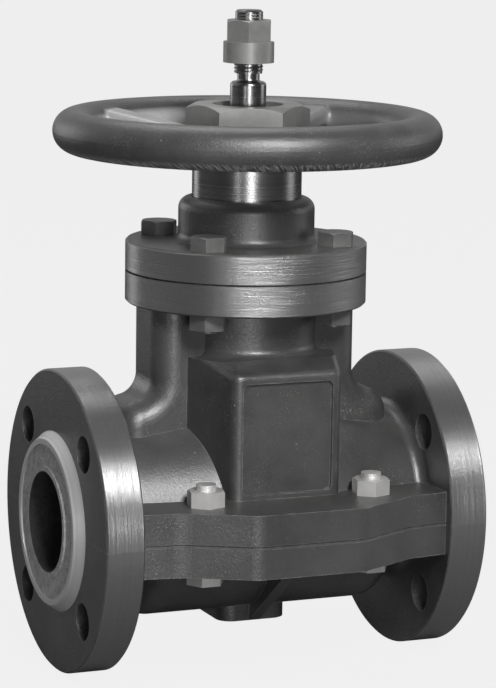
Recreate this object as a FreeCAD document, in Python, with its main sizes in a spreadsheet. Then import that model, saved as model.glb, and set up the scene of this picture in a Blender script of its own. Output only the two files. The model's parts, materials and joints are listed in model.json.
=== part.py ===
"""Pinch valve, nominal bore 50, with a rubber sleeve that is squeezed from above and below.

The pipe axis runs along X and the stem axis along Z. The origin is under the stem, at the level of the
lowest point of the pipe flanges. Sizes are in millimetres and heights in the sheet start at the pipe axis.
"""
import FreeCAD, Part
import math
import os
import Sketcher

document = FreeCAD.newDocument("PinchValve")
sheet = document.addObject("Spreadsheet::Sheet", "Sizes")

DRIVING_SIZES = {
    # pipe flanges and body length, flange face to flange face
    "body_length": 206.0,
    "flange_diameter": 155.0,
    "flange_thickness": 20.0,
    "flange_bolt_edge": 17.5,
    "flange_hole": 19.0,
    "flange_edge": 1.0,
    "ring_diameter": 92.0,
    "ring_slope": 3.7,
    "ring_wall": 6.5,
    "ring_stand": 5.0,
    "ring_depth": 3.0,
    # rubber sleeve
    "sleeve_bore": 51.0,
    "sleeve_wall": 6.0,
    "sleeve_middle": 80.0,
    "sleeve_lip": 1.0,
    "sleeve_lip_width": 3.0,
    # clearances
    "running_fit": 0.08,
    "rubber_gap": 0.3,
    "casting_gap": 1.0,
    # split plates of the two castings
    "plate_above": 16.5,
    "plate_below": 16.0,
    "plate_flat": 57.6,
    "plate_width": 182.8,
    "plate_knee_span": 124.0,
    "plate_knee_width": 147.0,
    "plate_end_width": 140.0,
    "plate_corner": 14.0,
    "plate_knee_round": 26.0,
    "plate_edge": 0.8,
    "body_bolt_span": 90.0,
    "body_bolt_width": 121.4,
    "spot_face": 27.0,
    # barrel round the sleeve and its necks
    "barrel_diameter": 109.0,
    "barrel_length": 50.0,
    "barrel_end": 94.0,
    "barrel_round": 12.0,
    "lower_barrel_step": 12.0,
    "lower_neck": 7.0,
    "lower_taper_extra": 2.0,
    "pipe_neck": 78.0,
    "neck_fillet": 5.0,
    "cradle_gap": 1.2,
    "barrel_cavity_length": 104.0,
    # web and shelf along the pipe
    "shelf_reach": 19.5,
    "web_width": 42.0,
    "shelf_gap": 8.0,
    "shelf_height": 61.5,
    "shelf_round": 13.0,
    "web_fillet": 11.0,
    "web_edge": 12.0,
    # boxes at the front and the back
    "box_width": 57.6,
    "box_root_width": 79.6,
    "roof_drop": 4.7,
    "roof_wall": 8.2,
    "box_corner": 6.0,
    "box_top_edge": 4.0,
    "box_wall": 6.0,
    "chamber_width": 42.0,
    "chamber_floor": 14.0,
    "chamber_gap": 2.0,
    "panel_recess": 2.0,
    "panel_margin": 4.5,
    "panel_foot": 2.5,
    "panel_head": 4.6,
    "panel_corner": 3.0,
    # tower and bonnet joint
    "tower_diameter": 74.0,
    "tower_bore_gap": 1.5,
    "tower_foot": 5.0,
    "foot_fillet": 4.0,
    "tower_fillet": 2.0,
    "top_flange_diameter": 123.6,
    "top_flange_height": 108.5,
    "top_flange_thickness": 15.9,
    "bonnet_bolt_edge": 13.0,
    "bonnet_flange_thickness": 14.9,
    "gasket_thickness": 1.0,
    "bonnet_wall": 6.9,
    "bonnet_neck_height": 22.1,
    "bonnet_shoulder": 6.0,
    "bonnet_fillet": 4.0,
    # lower boss and gussets
    "boss_width": 37.0,
    "boss_show": 5.0,
    "boss_round": 8.0,
    "gusset_thickness": 6.0,
    "gusset_reach": 72.0,
    # fasteners: thread, width over flats and heights
    "bolt_thread": 10.0,
    "bolt_flats": 17.0,
    "bolt_head": 7.0,
    "bolt_nut": 8.0,
    "bolt_hole_gap": 1.0,
    "bolt_end": 3.0,
    # stem nut that the wheel turns
    "sleeve_nut_diameter": 56.0,
    "drive_thread": 40.0,
    "thread_run_out": 2.0,
    "end_float": 0.1,
    "collar_step": 5.0,
    "collar_thickness": 7.0,
    "washer_thickness": 2.0,
    "thrust_plate_step": 5.0,
    "thrust_plate_thickness": 6.0,
    "bush_wall": 3.0,
    "bush_length": 18.0,
    "seal_height": 4.0,
    "hub_seat_diameter": 40.0,
    "nut_thread": 36.0,
    "nut_recess": 4.5,
    # handwheel
    "wheel_diameter": 198.4,
    "rim_diameter": 21.7,
    "hub_diameter": 62.0,
    "sleeve_show": 16.1,
    "hub_height": 16.8,
    "spoke_angle": 40.6,
    "spoke_width": 17.0,
    "spoke_root": 4.0,
    "spoke_lift": 1.0,
    "spoke_rise": 9.3,
    "spoke_round": 3.5,
    "spoke_depth": 10.0,
    "spoke_fillet": 3.0,
    "key_width": 8.0,
    "key_height": 6.0,
    "key_length": 12.0,
    "wheel_nut_flats": 55.0,
    "wheel_nut_height": 14.2,
    # stem, its stop collar and lock nut
    "stem_diameter": 18.4,
    "shoulder_below_collar": 9.5,
    "stem_round": 2.0,
    "waist_depth": 3.5,
    "waist_round": 1.3,
    "waist_height": 4.0,
    "stem_end_thread": 14.0,
    "stem_end_show": 5.0,
    "stop_collar_diameter": 25.8,
    "stop_collar_height": 10.5,
    "lock_nut_flats": 22.0,
    "lock_nut_height": 11.0,
    "cross_hole": 2.5,
    "stem_chamfer": 1.0,
    # pinch bar, crosshead, tie rods and cradle
    "bar_thickness": 20.0,
    "bar_nose": 4.0,
    "bar_height": 26.0,
    "stem_socket": 12.0,
    "pin_diameter": 6.0,
    "crosshead_hub": 60.0,
    "crosshead_hub_bottom": 62.0,
    "crosshead_hub_height": 14.0,
    "crosshead_leg_span": 57.0,
    "crosshead_leg": 6.0,
    "arm_bottom": 32.0,
    "arm_height": 9.0,
    "arm_thickness": 20.0,
    "arm_span": 102.0,
    "rod_diameter": 8.0,
    "rod_edge": 7.0,
    "rod_flats": 13.0,
    "rod_nut": 6.5,
    "rod_end": 1.5,
    "cradle_wall": 8.0,
    "cradle_ear_top": 2.0,
    "cradle_ear_height": 9.0,
    # how far a wanted edge lies from its neighbours when edges are picked
    "pick_margin": 1.0,
}

for row, (alias, number) in enumerate(DRIVING_SIZES.items(), start=1):
    sheet.set(f"A{row}", alias)
    sheet.set(f"B{row}", repr(number))
    sheet.setAlias(f"B{row}", alias)
document.recompute()


class Size:
    """A size worked out from the sheet: its number now, and the expression that keeps it bound."""

    def __init__(self, number, text):
        self.number = number
        self.text = text

    def __add__(self, other):
        other = size(other)
        return Size(self.number + other.number, f"({self.text} + {other.text})")

    def __sub__(self, other):
        other = size(other)
        return Size(self.number - other.number, f"({self.text} - {other.text})")

    def __mul__(self, other):
        other = size(other)
        return Size(self.number * other.number, f"({self.text} * {other.text})")

    def __truediv__(self, other):
        other = size(other)
        return Size(self.number / other.number, f"({self.text} / {other.text})")

    def __neg__(self):
        return Size(-self.number, f"(0 - {self.text})")

    __radd__ = __add__
    __rmul__ = __mul__

    def __rsub__(self, other):
        return size(other) - self


def size(value):
    """A plain number as a Size, or a Size as it is."""
    if isinstance(value, Size):
        return value
    return Size(float(value), repr(float(value)))


def cosine(angle):
    return Size(math.cos(math.radians(angle)), f"cos({angle})")


class Cells:
    """The sheet's cells by name."""

    def __getattr__(self, alias):
        return Size(float(sheet.get(alias)), f"Sizes.{alias}")


S = Cells()
AXIS = S.flange_diameter / 2


def bind(thing, **sizes):
    """Binds properties of an object to sizes."""
    for name, value in sizes.items():
        thing.setExpression(name, size(value).text)


def place(thing, x=0, y=0, z=0):
    """Binds an object's place to sizes."""
    for axis, value in zip("xyz", (x, y, z)):
        thing.setExpression(f"Placement.Base.{axis}", size(value).text)


def turn_by(thing, angle):
    """Turns an object about Z by an angle in degrees."""
    thing.Placement = FreeCAD.Placement(thing.Placement.Base, FreeCAD.Rotation(FreeCAD.Vector(0, 0, 1), 1))
    thing.setExpression("Placement.Rotation.Angle", size(angle).text)


def new_body(name):
    return document.addObject("PartDesign::Body", name)


def new_sketch(body, plane, along=0, up=0, off=0):
    """A sketch on one of the body's origin planes, moved by sizes in the plane and off it."""
    sketch = body.newObject("Sketcher::SketchObject", f"{body.Name}_sketch")
    support = [part for part in body.Origin.OriginFeatures if part.Role == plane]
    sketch.AttachmentSupport = [(support[0], "")]
    sketch.MapMode = "FlatFace"
    for axis, value in zip("xyz", (along, up, off)):
        sketch.setExpression(f"AttachmentOffset.Base.{axis}", size(value).text)
    return sketch


def hold(sketch, kind, geometry, point, value):
    """Holds a point of a sketch at a distance from the sketch's origin."""
    value = size(value)
    index = sketch.addConstraint(Sketcher.Constraint(kind, -1, 1, geometry, point, value.number))
    sketch.setExpression(f"Constraints[{index}]", value.text)


def draw_outline(sketch, points):
    """A closed outline of straight lines through points."""
    corners = [(size(x), size(y)) for x, y in points]
    vectors = [FreeCAD.Vector(x.number, y.number, 0) for x, y in corners]
    first = sketch.GeometryCount
    count = len(corners)
    for start, end in zip(vectors, vectors[1:] + vectors[:1]):
        sketch.addGeometry(Part.LineSegment(start, end), False)
    for index in range(count):
        after = first + (index + 1) % count
        sketch.addConstraint(Sketcher.Constraint("Coincident", first + index, 2, after, 1))
        hold(sketch, "DistanceX", first + index, 1, corners[index][0])
        hold(sketch, "DistanceY", first + index, 1, corners[index][1])


def draw_rectangle(sketch, left, bottom, right, top):
    draw_outline(sketch, [(left, bottom), (right, bottom), (right, top), (left, top)])


def draw_circle(sketch, x, y, radius):
    x, y, radius = size(x), size(y), size(radius)
    centre = FreeCAD.Vector(x.number, y.number, 0)
    index = sketch.addGeometry(Part.Circle(centre, FreeCAD.Vector(0, 0, 1), radius.number), False)
    hold(sketch, "DistanceX", index, 3, x)
    hold(sketch, "DistanceY", index, 3, y)
    bound = sketch.addConstraint(Sketcher.Constraint("Radius", index, radius.number))
    sketch.setExpression(f"Constraints[{bound}]", radius.text)


def extrude(kind, sketch, length, both_ways=False, backwards=False):
    """A pad or pocket of a sketch."""
    body = sketch.getParentGeoFeatureGroup()
    feature = body.newObject(f"PartDesign::{kind}", f"{body.Name}_{kind.lower()}")
    feature.Profile = sketch
    bind(feature, Length=length)
    feature.SideType = "Symmetric" if both_ways else "One side"
    feature.Reversed = backwards
    sketch.Visibility = False
    document.recompute()
    return feature


def revolve(kind, sketch, axis="V_Axis", angle=360):
    """A revolution or groove of a sketch about one of its own axes, centred on the sketch's plane."""
    body = sketch.getParentGeoFeatureGroup()
    feature = body.newObject(f"PartDesign::{kind}", f"{body.Name}_{kind.lower()}")
    feature.Profile = sketch
    feature.ReferenceAxis = (sketch, [axis])
    feature.Angle = angle
    feature.Midplane = angle < 360
    document.recompute()
    return feature


def edge_names(shape, chosen):
    """Names of a shape's edges that a test chooses."""
    names = []
    for index, edge in enumerate(shape.Edges, start=1):
        if chosen(edge):
            names.append(f"Edge{index}")
    return names


def soften(body, radius, chosen, kind="Fillet"):
    """A fillet or chamfer on the body's edges that a test chooses."""
    tip = body.Tip
    names = edge_names(tip.Shape, chosen)
    if not names:
        raise ValueError(f"no edge to soften on {body.Name}")
    feature = body.newObject(f"PartDesign::{kind}", f"{body.Name}_{kind.lower()}")
    feature.Base = (tip, names)
    if kind == "Fillet":
        bind(feature, Radius=radius)
    else:
        bind(feature, Size=radius)
    document.recompute()
    if feature.Shape.isNull() or not feature.Shape.isValid():
        raise ValueError(f"{feature.Name} did not build")
    return feature


def turned(name, points, plane="XZ_Plane", up=None):
    """A body of revolution about Z, from points of radius and height above the pipe axis."""
    body = new_body(name)
    sketch = new_sketch(body, plane, up=AXIS if up is None else up)
    draw_outline(sketch, points)
    revolve("Revolution", sketch)
    return body


def cylinder(name, radius, height, x=0, y=0, z=0, along=None):
    """A cylinder along Z, or along X or Y from its place."""
    shape = document.addObject("Part::Cylinder", name)
    bind(shape, Radius=radius, Height=height)
    axis, angle = {None: ((0, 0, 1), 0), "X": ((0, 1, 0), 90), "Y": ((1, 0, 0), -90)}[along]
    turn = FreeCAD.Rotation(FreeCAD.Vector(*axis), angle)
    shape.Placement = FreeCAD.Placement(FreeCAD.Vector(), turn)
    place(shape, x, y, z)
    return shape


def block(name, length, width, height, z, x=0, y=0):
    """A block centred on x and y, standing on z."""
    shape = document.addObject("Part::Box", name)
    bind(shape, Length=length, Width=width, Height=height)
    place(shape, size(x) - size(length) / 2, size(y) - size(width) / 2, z)
    return shape


def fuse(name, shapes):
    result = document.addObject("Part::MultiFuse", name)
    result.Shapes = shapes
    result.Refine = True
    document.recompute()
    return result


def cut(name, base, tools):
    """The base less the tools."""
    tool = tools[0] if len(tools) == 1 else fuse(f"{name}_tools", tools)
    result = document.addObject("Part::Cut", name)
    result.Base = base
    result.Tool = tool
    result.Refine = True
    document.recompute()
    return result


def group(name, shapes):
    """Separate solids under one name."""
    result = document.addObject("Part::Compound", name)
    result.Links = shapes
    document.recompute()
    return result


def keep(piece, name):
    """Names a finished piece and adds it to those that are written out."""
    piece.Label = name
    pieces.append(piece)
    return piece


pieces = []


def parallel(edge, direction):
    """Whether an edge is straight and runs along a direction."""
    if not isinstance(edge.Curve, (Part.Line, Part.LineSegment)):
        return False
    start, end = edge.Vertexes[0].Point, edge.Vertexes[-1].Point
    run = (end - start).normalize()
    return abs(abs(run.dot(FreeCAD.Vector(*direction))) - 1) < 1e-6


def middle(edge):
    return edge.BoundBox.Center


def flat_distance(edge):
    """Distance of an edge's middle from the stem axis."""
    return math.hypot(middle(edge).x, middle(edge).y)


def near(value, target):
    return abs(value - size(target).number) < 0.01


def ring_edge(edge, radius):
    """Whether an edge is an arc or circle of a radius."""
    return isinstance(edge.Curve, Part.Circle) and near(edge.Curve.Radius, radius)


def mirror(body, feature, plane):
    """Repeats a feature on the other side of one of the body's origin planes."""
    copy = body.newObject("PartDesign::Mirrored", f"{body.Name}_mirror")
    support = [part for part in body.Origin.OriginFeatures if part.Role == plane]
    copy.Originals = [feature]
    copy.MirrorPlane = (support[0], [""])
    body.Tip = copy
    document.recompute()
    return copy


def polar(body, features, count):
    """Repeats features round the stem axis."""
    pattern = body.newObject("PartDesign::PolarPattern", f"{body.Name}_pattern")
    support = [part for part in body.Origin.OriginFeatures if part.Role == "Z_Axis"]
    pattern.Originals = features
    pattern.Axis = (support[0], [""])
    pattern.Angle = 360
    pattern.Occurrences = count
    body.Tip = pattern
    document.recompute()
    return pattern


FACE = S.body_length / 2
FLANGE_RADIUS = S.flange_diameter / 2
FLANGE_BACK = FACE - S.flange_thickness
SLEEVE_RADIUS = S.sleeve_bore / 2 + S.sleeve_wall
TOP_FLANGE_TOP = S.top_flange_height + S.top_flange_thickness
BONNET_BOTTOM = TOP_FLANGE_TOP + S.gasket_thickness
BONNET_FLANGE_TOP = BONNET_BOTTOM + S.bonnet_flange_thickness
BONNET_TOP = BONNET_FLANGE_TOP + S.bonnet_neck_height
HUB_BOTTOM = BONNET_TOP + S.sleeve_show
HUB_TOP = HUB_BOTTOM + S.hub_height
PINCH_TRAVEL = S.sleeve_bore / 2
BARREL_CAVITY_RADIUS = SLEEVE_RADIUS + S.rubber_gap + S.cradle_wall + S.cradle_gap
SHELF_HALF = FLANGE_BACK - S.shelf_gap
WEB_HALF = SHELF_HALF - S.shelf_reach
BOX_DEPTH = S.arm_span + (S.casting_gap + S.box_wall) * 2
CHAMBER_ROOF = S.arm_bottom + S.arm_height + S.rod_nut + S.rod_end + PINCH_TRAVEL + S.chamber_gap
ROOF_ROOT = CHAMBER_ROOF + S.roof_wall
ROOF_FRONT = ROOF_ROOT - S.roof_drop
LOWER_BARREL_RADIUS = S.pipe_neck / 2 + S.lower_barrel_step
LOWER_TAPER = S.lower_barrel_step + S.lower_taper_extra
BOSS_HEIGHT = LOWER_BARREL_RADIUS + S.boss_show
COLLAR_RADIUS = S.sleeve_nut_diameter / 2 + S.collar_step
THRUST_PLATE_RADIUS = COLLAR_RADIUS + S.thrust_plate_step
BOLT_HOLE_RADIUS = (S.bolt_thread + S.bolt_hole_gap) / 2
FLANGE_BOLT_RADIUS = FLANGE_RADIUS - S.flange_bolt_edge
BONNET_BOLT_RADIUS = S.top_flange_diameter / 2 - S.bonnet_bolt_edge
CORNERS = [(1, 1), (-1, 1), (-1, -1), (1, -1)]
BODY_BOLTS = [(x * S.body_bolt_span / 2, y * S.body_bolt_width / 2) for x, y in CORNERS]
PLATE_END = FLANGE_BACK + S.neck_fillet
BONNET_BOLT_OFFSET = BONNET_BOLT_RADIUS * cosine(45)
BONNET_BOLTS = [(x * BONNET_BOLT_OFFSET, y * BONNET_BOLT_OFFSET) for x, y in CORNERS]


def barrel(name, side, profile):
    """Half of the barrel and its pipe flanges; side is 1 above the pipe axis and -1 below.

    The profile has the barrel's points of x and radius, from its middle out to the flange's back.
    """
    body = new_body(name)
    sketch = new_sketch(body, "XZ_Plane", up=AXIS)
    right = profile + [(FLANGE_BACK, FLANGE_RADIUS), (FACE, FLANGE_RADIUS), (FACE, 0)]
    left = [(-x, radius) for x, radius in reversed(right)]
    draw_outline(sketch, [(x, radius * side) for x, radius in left + right])
    revolve("Revolution", sketch, axis="H_Axis", angle=180)
    soften(body, S.barrel_round, lambda edge: ring_edge(edge, profile[0][1]))
    soften(body, S.neck_fillet, lambda edge: ring_edge(edge, profile[-1][1]))
    soften(body, S.flange_edge, lambda edge: ring_edge(edge, FLANGE_RADIUS), "Chamfer")
    return body


def plate(name, bottom, thickness, seam):
    """One split plate, from its bottom upwards, with a small bevel round the seam."""
    body = new_body(name)
    sketch = new_sketch(body, "XY_Plane", off=AXIS + bottom)
    corner = (S.plate_flat / 2, S.plate_width / 2)
    knee = (S.plate_knee_span / 2, S.plate_knee_width / 2)
    end = (PLATE_END, S.plate_end_width / 2)
    quarter = [corner, knee, end]
    back = quarter + [(x, -y) for x, y in reversed(quarter)]
    front = [(-x, -y) for x, y in quarter] + [(-x, y) for x, y in reversed(quarter)]
    draw_outline(sketch, back + front)
    extrude("Pad", sketch, thickness)

    def upright(spot):
        def chosen(edge):
            centre = middle(edge)
            at_spot = near(abs(centre.x), spot[0]) and near(abs(centre.y), spot[1])
            return parallel(edge, (0, 0, 1)) and at_spot
        return chosen

    soften(body, S.plate_corner, upright(corner))
    soften(body, S.plate_knee_round, upright(knee))
    seam_height = (AXIS + seam).number
    soften(body, S.plate_edge, lambda edge: edge.BoundBox.ZLength < 1e-6
           and near(edge.BoundBox.ZMin, seam_height), "Chamfer")
    return body


def web():
    """The web along the pipe, wider at its foot where the shelf is."""
    body = new_body("web")
    sketch = new_sketch(body, "XZ_Plane", up=AXIS)
    right = [
        (SHELF_HALF, 0),
        (SHELF_HALF, S.shelf_height),
        (WEB_HALF, S.shelf_height),
        (WEB_HALF, S.top_flange_height),
    ]
    draw_outline(sketch, right + [(-x, height) for x, height in reversed(right)])
    extrude("Pad", sketch, S.web_width, both_ways=True)

    def across(x, height):
        target = (AXIS + height).number
        return lambda edge: (parallel(edge, (0, 1, 0)) and near(abs(middle(edge).x), x)
                             and near(middle(edge).z, target))

    soften(body, S.web_fillet, across(WEB_HALF, S.shelf_height))
    soften(body, S.shelf_round, across(SHELF_HALF, S.shelf_height))
    half = S.web_width / 2
    top = (AXIS + S.top_flange_height).number
    base, margin = AXIS.number, S.pick_margin.number
    soften(body, S.web_edge, lambda edge: near(abs(middle(edge).y), half)
           and base + margin < middle(edge).z < top - margin)
    return body


def box():
    """The boxes at the front and the back, with sloping roofs and a shallow panel in each face."""
    body = new_body("box")
    front = (S.box_width / 2, BOX_DEPTH / 2)
    root = (S.box_root_width / 2, S.web_width / 2)
    sketch = new_sketch(body, "XY_Plane", off=AXIS)
    quarter = [root, front]
    back = quarter + [(-x, y) for x, y in reversed(quarter)]
    draw_outline(sketch, back + [(-x, -y) for x, y in back])
    extrude("Pad", sketch, ROOF_ROOT)
    slope = new_sketch(body, "YZ_Plane", up=AXIS)
    draw_outline(slope, [
        (S.tower_diameter / 2 + S.tower_foot, ROOF_ROOT),
        (BOX_DEPTH / 2, ROOF_FRONT),
        (BOX_DEPTH / 2, ROOF_ROOT),
    ])
    mirror(body, extrude("Pocket", slope, S.box_root_width, both_ways=True), "XZ_Plane")

    def upright(edge):
        centre = middle(edge)
        return parallel(edge, (0, 0, 1)) and near(abs(centre.x), front[0]) and near(abs(centre.y), front[1])

    soften(body, S.box_corner, upright)
    roof_front = (AXIS + ROOF_FRONT).number - 0.01
    inner = (S.tower_diameter / 2 + S.tower_foot + S.pick_margin).number
    soften(body, S.box_top_edge, lambda edge: edge.BoundBox.ZMin > roof_front
           and abs(middle(edge).y) > inner)
    panel = new_sketch(body, "XZ_Plane", up=AXIS, off=BOX_DEPTH / 2)
    half = S.box_width / 2 - S.panel_margin
    draw_rectangle(panel, -half, S.plate_above + S.panel_foot, half, ROOF_FRONT - S.panel_head)
    mirror(body, extrude("Pocket", panel, S.panel_recess), "XZ_Plane")
    face = (BOX_DEPTH / 2).number
    soften(body, S.panel_corner, lambda edge: parallel(edge, (0, 1, 0))
           and abs(middle(edge).y) > face - S.panel_recess.number and near(abs(middle(edge).x), half))
    return body


def tower():
    """The round tower under the bonnet, with its flange and a foot that runs out into the box's roof."""
    radius, flange = S.tower_diameter / 2, S.top_flange_diameter / 2
    body = turned("tower", [
        (0, S.plate_above),
        (radius + S.tower_foot, S.plate_above),
        (radius + S.tower_foot, ROOF_ROOT),
        (radius, ROOF_ROOT),
        (radius, S.top_flange_height),
        (flange, S.top_flange_height),
        (flange, TOP_FLANGE_TOP),
        (0, TOP_FLANGE_TOP),
    ])
    under = (AXIS + S.top_flange_height).number
    roof = (AXIS + ROOF_ROOT).number
    soften(body, S.tower_fillet, lambda edge: ring_edge(edge, radius) and near(middle(edge).z, under))
    soften(body, S.foot_fillet, lambda edge: ring_edge(edge, radius) and near(middle(edge).z, roof))
    soften(body, S.flange_edge, lambda edge: ring_edge(edge, flange) and near(middle(edge).z, under),
           "Chamfer")
    return body


def flange_holes(name):
    """Bolt holes of both pipe flanges, with two of each four above the pipe axis."""
    offset = FLANGE_BOLT_RADIUS * cosine(45)
    holes = []
    for number, (y, height) in enumerate(CORNERS):
        for start in (-FACE, FLANGE_BACK):
            hole = cylinder(f"{name}_{number}", S.flange_hole / 2, S.flange_thickness,
                            start, y * offset, AXIS + height * offset, along="X")
            holes.append(hole)
    return holes


def pipe_hollow():
    """What both castings leave open along the pipe: the sleeve's bore, ring seats and the chamber."""
    seat = S.ring_diameter / 2 + S.running_fit
    hollow = [
        cylinder("sleeve_bore_hole", SLEEVE_RADIUS + S.running_fit, S.body_length, -FACE, 0, AXIS, "X"),
        cylinder("barrel_hollow", BARREL_CAVITY_RADIUS, S.barrel_cavity_length,
                 -S.barrel_cavity_length / 2, 0, AXIS, "X"),
        cylinder("left_ring_seat", seat, S.ring_depth, -FACE, 0, AXIS, "X"),
        cylinder("right_ring_seat", seat, S.ring_depth, FACE - S.ring_depth, 0, AXIS, "X"),
        block("rod_chamber", S.chamber_width, BOX_DEPTH - S.box_wall * 2,
              S.chamber_floor + CHAMBER_ROOF, AXIS - S.chamber_floor),
    ]
    hollow += flange_holes("flange_hole_cut")
    depth = S.plate_above + S.plate_below
    for number, (x, y) in enumerate(BODY_BOLTS):
        hollow.append(cylinder(f"body_bolt_hole_{number}", BOLT_HOLE_RADIUS, depth, x, y,
                               AXIS - S.plate_below))
        hollow.append(cylinder(f"upper_spot_face_{number}", S.spot_face / 2, S.bolt_nut * 2, x, y,
                               AXIS + S.plate_above))
        hollow.append(cylinder(f"lower_spot_face_{number}", S.spot_face / 2, S.bolt_nut * 2, x, y,
                               AXIS - S.plate_below - S.bolt_nut * 2))
    return fuse("pipe_hollow", hollow)


def upper_casting(hollow):
    profile = [(S.barrel_length / 2, S.barrel_diameter / 2), (FLANGE_BACK, S.barrel_end / 2)]
    parts = [barrel("upper_barrel", 1, profile), plate("upper_plate", 0, S.plate_above, size(0)), web(),
             box(), tower()]
    solid = fuse("upper_solid", parts)
    bore = S.crosshead_hub / 2 + S.tower_bore_gap
    open_tower = [cylinder("tower_bore_hole", bore, TOP_FLANGE_TOP, 0, 0, AXIS)]
    plate_seat = THRUST_PLATE_RADIUS + S.running_fit
    open_tower.append(cylinder("thrust_plate_seat", plate_seat, S.thrust_plate_thickness, 0, 0,
                               AXIS + TOP_FLANGE_TOP - S.thrust_plate_thickness))
    for number, (x, y) in enumerate(BONNET_BOLTS):
        open_tower.append(cylinder(f"top_flange_hole_{number}", BOLT_HOLE_RADIUS, S.top_flange_thickness,
                                   x, y, AXIS + S.top_flange_height))
    return keep(cut("upper_body_casting", solid, [hollow] + open_tower), "upper_body")


def boss():
    """The square boss under the barrel and its two gussets."""
    body = new_body("boss")
    sketch = new_sketch(body, "XY_Plane", off=AXIS - BOSS_HEIGHT)
    half = S.boss_width / 2
    draw_rectangle(sketch, -half, -half, half, half)
    extrude("Pad", sketch, BOSS_HEIGHT)
    soften(body, S.boss_round, lambda edge: parallel(edge, (0, 0, 1)))
    rib = new_sketch(body, "YZ_Plane", up=AXIS)
    reach = S.gusset_reach
    draw_outline(rib, [(half / 2, -BOSS_HEIGHT), (half, -BOSS_HEIGHT), (reach, -S.plate_below),
                       (reach, 0), (half / 2, 0)])
    mirror(body, extrude("Pad", rib, S.gusset_thickness, both_ways=True), "XZ_Plane")
    return body


def lower_casting(hollow):
    neck = FLANGE_BACK - S.lower_neck
    profile = [
        (neck - LOWER_TAPER, LOWER_BARREL_RADIUS),
        (neck, S.pipe_neck / 2),
        (FLANGE_BACK, S.pipe_neck / 2),
    ]
    parts = [barrel("lower_barrel", -1, profile),
             plate("lower_plate", -S.plate_below, S.plate_below, size(0)), boss()]
    return keep(cut("lower_body_casting", fuse("lower_solid", parts), [hollow]), "lower_body")


def hexagon(name, flats, height, x, y, z, bore=None, turn=0):
    """A hexagonal nut or head standing on z, chamfered at its top, with a bore if one is given.

    A corner points along X, or at an angle to it.
    """
    across_corners = size(flats) / (cosine(30) * 2)
    prism = document.addObject("Part::Prism", f"{name}_prism")
    prism.Polygon = 6
    turn_by(prism, turn)
    bind(prism, Circumradius=across_corners, Height=height)
    place(prism, x, y, z)
    cone = document.addObject("Part::Cone", f"{name}_cone")
    top = size(flats) / 2
    bind(cone, Radius1=top + size(height) * CHAMFER_SLOPE, Radius2=top, Height=height)
    place(cone, x, y, z)
    shape = document.addObject("Part::Common", f"{name}_hexagon")
    shape.Base = prism
    shape.Tool = cone
    document.recompute()
    if bore is None:
        return shape
    return cut(f"{name}_nut", shape, [cylinder(f"{name}_bore", bore, height, x, y, z)])


def bonnet():
    """The bonnet: its flange, neck and bore, with a seat for the thrust collar and its washers."""
    bore = BUSH_RADIUS + S.running_fit
    lip = S.sleeve_nut_diameter / 2 + S.rubber_gap
    collar_seat = COLLAR_RADIUS + S.casting_gap
    neck, flange = S.sleeve_nut_diameter / 2 + S.bonnet_wall, S.top_flange_diameter / 2
    body = turned("bonnet_casting", [
        (collar_seat, BONNET_BOTTOM),
        (flange, BONNET_BOTTOM),
        (flange, BONNET_FLANGE_TOP),
        (neck, BONNET_FLANGE_TOP),
        (neck, BONNET_TOP),
        (lip, BONNET_TOP),
        (lip, SEAL_TOP),
        (bore, SEAL_TOP),
        (bore, UPPER_WASHER_TOP),
        (collar_seat, UPPER_WASHER_TOP),
    ])
    holes = new_sketch(body, "XY_Plane", off=AXIS + BONNET_FLANGE_TOP)
    x, y = BONNET_BOLTS[0]
    draw_circle(holes, x, y, BOLT_HOLE_RADIUS)
    polar(body, [extrude("Pocket", holes, S.bonnet_flange_thickness)], len(BONNET_BOLTS))
    shoulder = (AXIS + BONNET_TOP).number
    foot = (AXIS + BONNET_FLANGE_TOP).number
    soften(body, S.bonnet_shoulder, lambda edge: ring_edge(edge, neck) and near(middle(edge).z, shoulder))
    soften(body, S.bonnet_fillet, lambda edge: ring_edge(edge, neck) and near(middle(edge).z, foot))
    soften(body, S.flange_edge, lambda edge: ring_edge(edge, flange) and near(middle(edge).z, foot),
           "Chamfer")
    return keep(body, "bonnet")


def washer(name, inner, outer, bottom, thickness):
    """A flat ring on the stem axis."""
    body = turned(f"{name}_ring", [(inner, bottom), (outer, bottom), (outer, bottom + thickness),
                                   (inner, bottom + thickness)])
    return keep(body, name)


def bonnet_fittings():
    """What sits in the bonnet round the stem nut: gasket, thrust plate, washers, bush and seal."""
    nut_fit = S.sleeve_nut_diameter / 2 + S.running_fit
    drive_fit = S.drive_thread / 2 + S.running_fit
    collar = COLLAR_RADIUS
    ring = turned("gasket_ring", [
        (THRUST_PLATE_RADIUS + S.casting_gap, TOP_FLANGE_TOP),
        (S.top_flange_diameter / 2 - S.gasket_thickness, TOP_FLANGE_TOP),
        (S.top_flange_diameter / 2 - S.gasket_thickness, BONNET_BOTTOM),
        (THRUST_PLATE_RADIUS + S.casting_gap, BONNET_BOTTOM),
    ])
    holes = [cylinder(f"gasket_hole_{number}", BOLT_HOLE_RADIUS, S.gasket_thickness, x, y,
                      AXIS + TOP_FLANGE_TOP) for number, (x, y) in enumerate(BONNET_BOLTS)]
    keep(cut("gasket_cut", ring, holes), "bonnet_gasket")
    washer("thrust_plate", drive_fit + S.casting_gap, THRUST_PLATE_RADIUS,
           TOP_FLANGE_TOP - S.thrust_plate_thickness, S.thrust_plate_thickness)
    washer("lower_thrust_washer", drive_fit, collar, TOP_FLANGE_TOP, S.washer_thickness)
    washer("upper_thrust_washer", nut_fit, collar, UPPER_WASHER_TOP - S.washer_thickness,
           S.washer_thickness)
    washer("stem_nut_bush", nut_fit, BUSH_RADIUS, UPPER_WASHER_TOP, S.bush_length)
    washer("dust_seal", nut_fit, BUSH_RADIUS, SEAL_TOP - S.seal_height, S.seal_height)


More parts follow.
